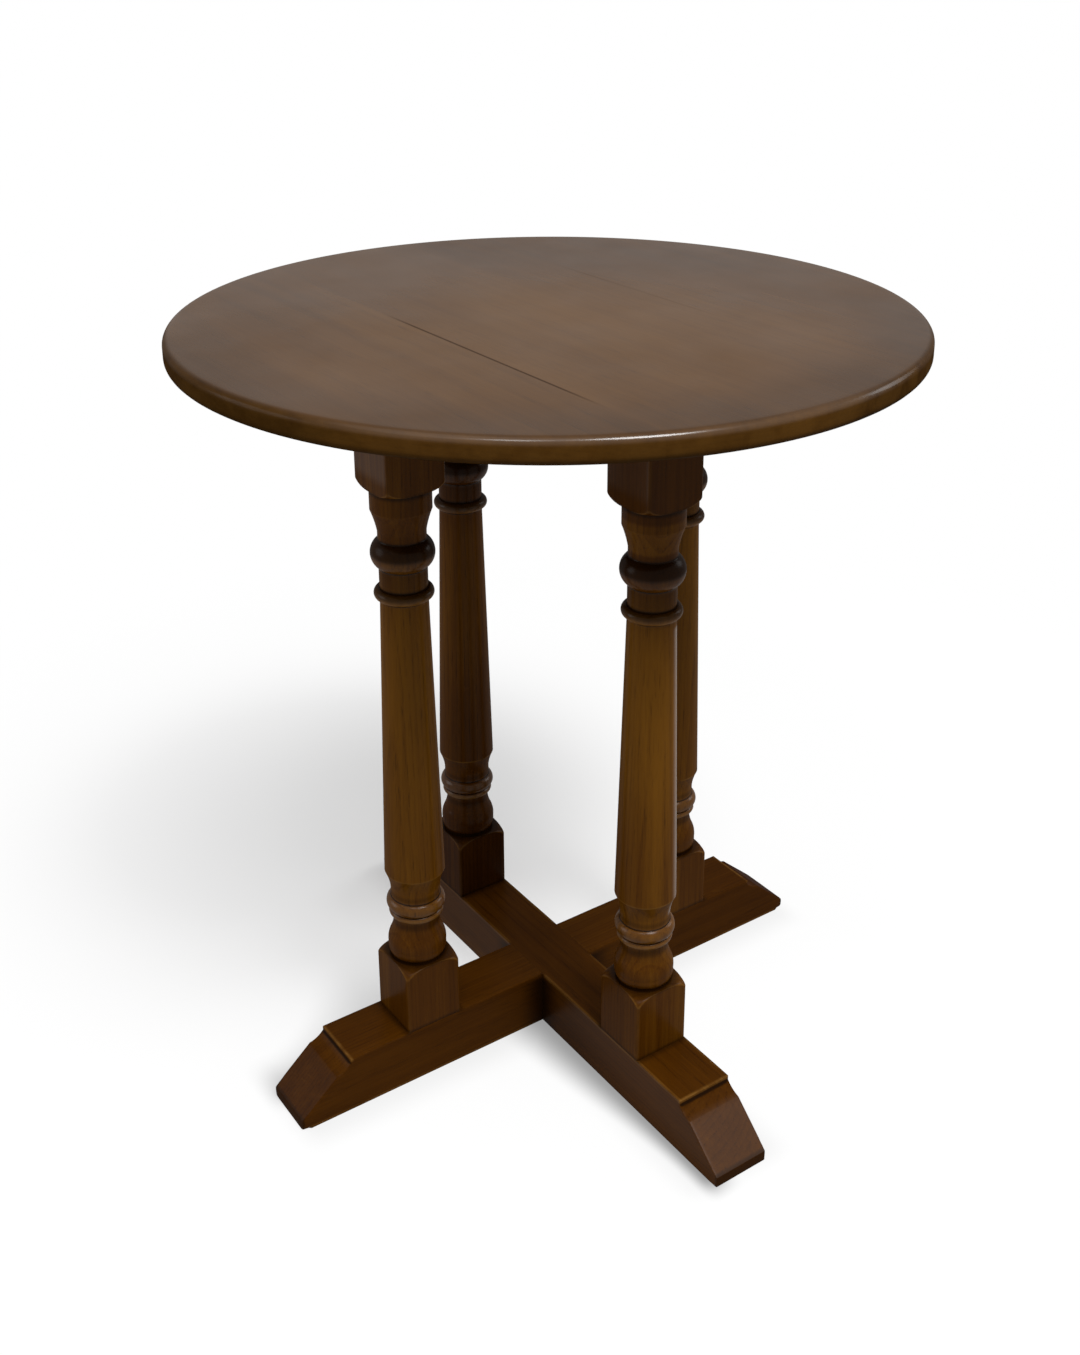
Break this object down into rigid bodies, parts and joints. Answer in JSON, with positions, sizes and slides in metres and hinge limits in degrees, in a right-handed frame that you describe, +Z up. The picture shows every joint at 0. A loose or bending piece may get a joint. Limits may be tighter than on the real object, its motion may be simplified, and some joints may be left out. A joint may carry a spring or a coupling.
{
  "type": "lamp table",
  "caption": "Round oak lamp table with a boarded top on turned legs that stand on crossed halved feet.",
  "frame": {"origin": "centre of the table on the floor", "axes": "+Z up along the table's axis, +X and +Y along the two feet"},
  "size_m": [0.55, 0.55, 0.604],
  "materials": {
    "oak_top": "dark stained oak, waxed to a soft gloss",
    "oak_legs": "dark stained oak, polished",
    "oak_feet": "dark stained oak, polished, worn at the edges",
    "oak_rails": "dark stained oak, not polished",
    "bare_wood": "bare beech",
    "screw_steel": "dull bright steel"
  },
  "bodies": {
    "root": {"top_board_left": "oak_top", "top_board_middle": "oak_top", "top_board_right": "oak_top", "board_dowels": "bare_wood", "leg_left": "oak_legs", "leg_right": "oak_legs", "leg_front": "oak_legs", "leg_back": "oak_legs", "foot_left_right": "oak_feet", "foot_front_back": "oak_feet", "rail_left_right": "oak_rails", "rail_front_back": "oak_rails", "top_screws": "screw_steel"}
  },
  "joints": []
}
